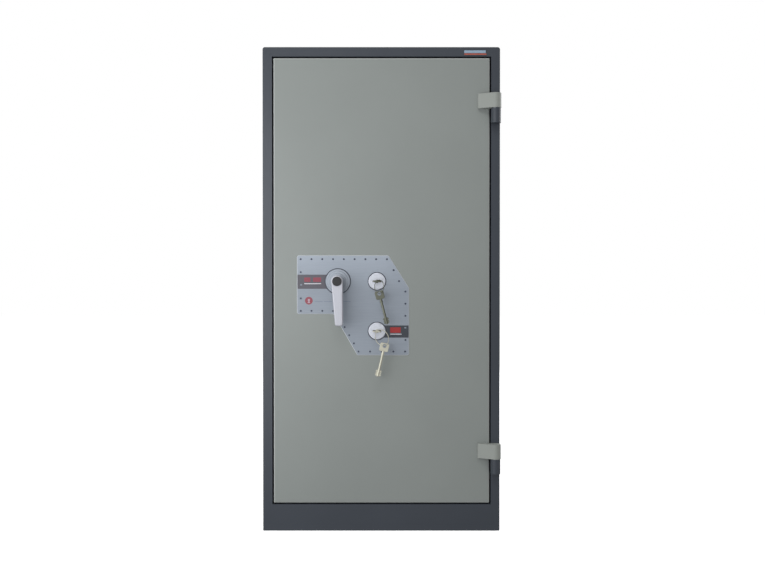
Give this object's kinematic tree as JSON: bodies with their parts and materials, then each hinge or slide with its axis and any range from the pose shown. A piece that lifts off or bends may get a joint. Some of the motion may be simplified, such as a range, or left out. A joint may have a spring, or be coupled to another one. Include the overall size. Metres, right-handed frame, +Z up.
{
  "type": "safe",
  "caption": "Tall floor-standing safe with one door, a lever handle that throws bolts on three sides, key locks with keys in place, and inner shelves.",
  "frame": {"origin": "centre of the carcass's underside", "axes": "+X to the right seen from the front, the door faces -Y, +Z up"},
  "size_m": [0.589, 0.5905, 1.2],
  "materials": {
    "carcass_paint": "satin",
    "interior_paint": "satin",
    "door_paint": "satin",
    "plate_silver": "satin",
    "bright_metal": "polished",
    "lever_metal": "satin",
    "cap_black": "matte",
    "rivet_metal": "satin",
    "band_dark": "satin",
    "badge_pale": "satin",
    "zinc_steel": "satin",
    "bolt_steel": "polished",
    "hard_steel": "satin",
    "filler": "matte",
    "seal_black": "matte",
    "guide_plastic": "matte",
    "brass": "satin",
    "upper_key_metal": "satin",
    "lower_key_metal": "satin"
  },
  "bodies": {
    "carcass": {"shell_wrap": "carcass_paint", "rear_panel": "carcass_paint", "base_panel": "carcass_paint", "front_frame": "carcass_paint", "inner_liner": "interior_paint", "insulation_fill": "filler", "anchor_sleeves": "zinc_steel", "bolt_sockets": "zinc_steel", "shelf_uprights": "zinc_steel", "shelf_clips": "zinc_steel", "shelf_upper": "interior_paint", "shelf_middle": "interior_paint", "shelf_lower": "interior_paint", "hinge_knuckles": "carcass_paint", "hinge_pins": "bolt_steel", "hinge_washers": "zinc_steel", "badge": "badge_pale"},
    "door": {"door_skin": "door_paint", "door_casing": "interior_paint", "door_front_insulation": "filler", "hard_plate": "hard_steel", "door_cover_plate": "zinc_steel", "door_back_pan": "interior_paint", "door_rear_insulation": "filler", "door_cover_screws": "zinc_steel", "door_seal": "seal_black", "hinge_arms": "door_paint", "face_plate": "plate_silver", "face_plate_rivets": "rivet_metal", "label_bands": "band_dark", "handle_rosette": "bright_metal", "lock_escutcheons": "bright_metal", "bolt_bushes": "guide_plastic", "dead_bolts": "bolt_steel", "rod_guides": "guide_plastic", "spindle_bush": "brass", "lock_cases": "zinc_steel", "lock_covers": "zinc_steel", "lock_levers": "brass"},
    "handle": {"handle_lever": "lever_metal", "handle_cap": "cap_black", "handle_spindle": "zinc_steel", "boltwork_cam": "zinc_steel"},
    "side_bolts": {"bolt_bar": "zinc_steel", "lock_side_bolts": "bolt_steel"},
    "top_bolt_slide": {"top_rod": "zinc_steel", "top_bolt": "bolt_steel"},
    "bottom_bolt_slide": {"bottom_rod": "zinc_steel", "bottom_bolt": "bolt_steel"},
    "upper_rotor": {"upper_lock_rotor": "brass"},
    "upper_lock_slide": {"upper_lock_bolt": "brass"},
    "upper_ring": {"upper_key_ring": "upper_key_metal"},
    "upper_inserted_key": {"upper_key": "upper_key_metal"},
    "upper_hanging_key": {"upper_spare_key": "upper_key_metal"},
    "lower_rotor": {"lower_lock_rotor": "brass"},
    "lower_lock_slide": {"lower_lock_bolt": "brass"},
    "lower_ring": {"lower_key_ring": "lower_key_metal"},
    "lower_inserted_key": {"lower_key": "lower_key_metal"},
    "lower_hanging_key": {"lower_spare_key": "lower_key_metal"}
  },
  "joints": [
    {"name": "door_hinge", "type": "hinge", "parent": "carcass", "child": "door", "pos_m": [0.282, -0.285, 0.6], "axis": [0, 0, 1], "range_deg": [0, 170]},
    {"name": "handle_turn", "type": "hinge", "parent": "door", "child": "handle", "pos_m": [-0.1078, -0.27, 0.6205], "axis": [0, 1, 0], "range_deg": [0, 90]},
    {"name": "side_bolts_throw", "type": "slide", "parent": "door", "child": "side_bolts", "axis": [-1, 0, 0], "range_m": [0, 0.028]},
    {"name": "top_bolt_throw", "type": "slide", "parent": "door", "child": "top_bolt_slide", "axis": [0, 0, 1], "range_m": [0, 0.028]},
    {"name": "bottom_bolt_throw", "type": "slide", "parent": "door", "child": "bottom_bolt_slide", "axis": [0, 0, -1], "range_m": [0, 0.028]},
    {"name": "upper_lock_turn", "type": "hinge", "parent": "door", "child": "upper_rotor", "pos_m": [-0.0107, -0.27, 0.6205], "axis": [0, 1, 0], "range_deg": [0, 90]},
    {"name": "upper_lock_throw", "type": "slide", "parent": "door", "child": "upper_lock_slide", "axis": [-1, 0, 0], "range_m": [0, 0.012]},
    {"name": "upper_key_pull", "type": "slide", "parent": "door", "child": "upper_ring", "axis": [0, -1, 0], "range_m": [0, 0.075]},
    {"name": "upper_key_turn", "type": "hinge", "parent": "upper_ring", "child": "upper_inserted_key", "pos_m": [-0.0107, -0.27, 0.6205], "axis": [0, 1, 0], "range_deg": [0, 90]},
    {"name": "upper_spare_swing", "type": "hinge", "parent": "upper_ring", "child": "upper_hanging_key", "pos_m": [-0.00504, -0.30166, 0.5915], "axis": [0, 1, 0], "range_deg": [-25, 25]},
    {"name": "lower_lock_turn", "type": "hinge", "parent": "door", "child": "lower_rotor", "pos_m": [-0.0107, -0.27, 0.4973], "axis": [0, 1, 0], "range_deg": [0, 90]},
    {"name": "lower_lock_throw", "type": "slide", "parent": "door", "child": "lower_lock_slide", "axis": [-1, 0, 0], "range_m": [0, 0.012]},
    {"name": "lower_key_pull", "type": "slide", "parent": "door", "child": "lower_ring", "axis": [0, -1, 0], "range_m": [0, 0.075]},
    {"name": "lower_key_turn", "type": "hinge", "parent": "lower_ring", "child": "lower_inserted_key", "pos_m": [-0.0107, -0.27, 0.4973], "axis": [0, 1, 0], "range_deg": [0, 90]},
    {"name": "lower_spare_swing", "type": "hinge", "parent": "lower_ring", "child": "lower_hanging_key", "pos_m": [0.00833, -0.30078, 0.46379], "axis": [0, 1, 0], "range_deg": [-25, 25]}
  ],
  "couplings": [
    {"joint": "side_bolts_throw", "follows": "handle_turn", "m_per_rad": 0.017825},
    {"joint": "top_bolt_throw", "follows": "handle_turn", "m_per_rad": 0.017825},
    {"joint": "bottom_bolt_throw", "follows": "handle_turn", "m_per_rad": 0.017825},
    {"joint": "upper_lock_throw", "follows": "upper_lock_turn", "m_per_rad": 0.0076394},
    {"joint": "upper_key_turn", "follows": "upper_lock_turn", "ratio": 1},
    {"joint": "lower_lock_throw", "follows": "lower_lock_turn", "m_per_rad": 0.0076394},
    {"joint": "lower_key_turn", "follows": "lower_lock_turn", "ratio": 1}
  ]
}
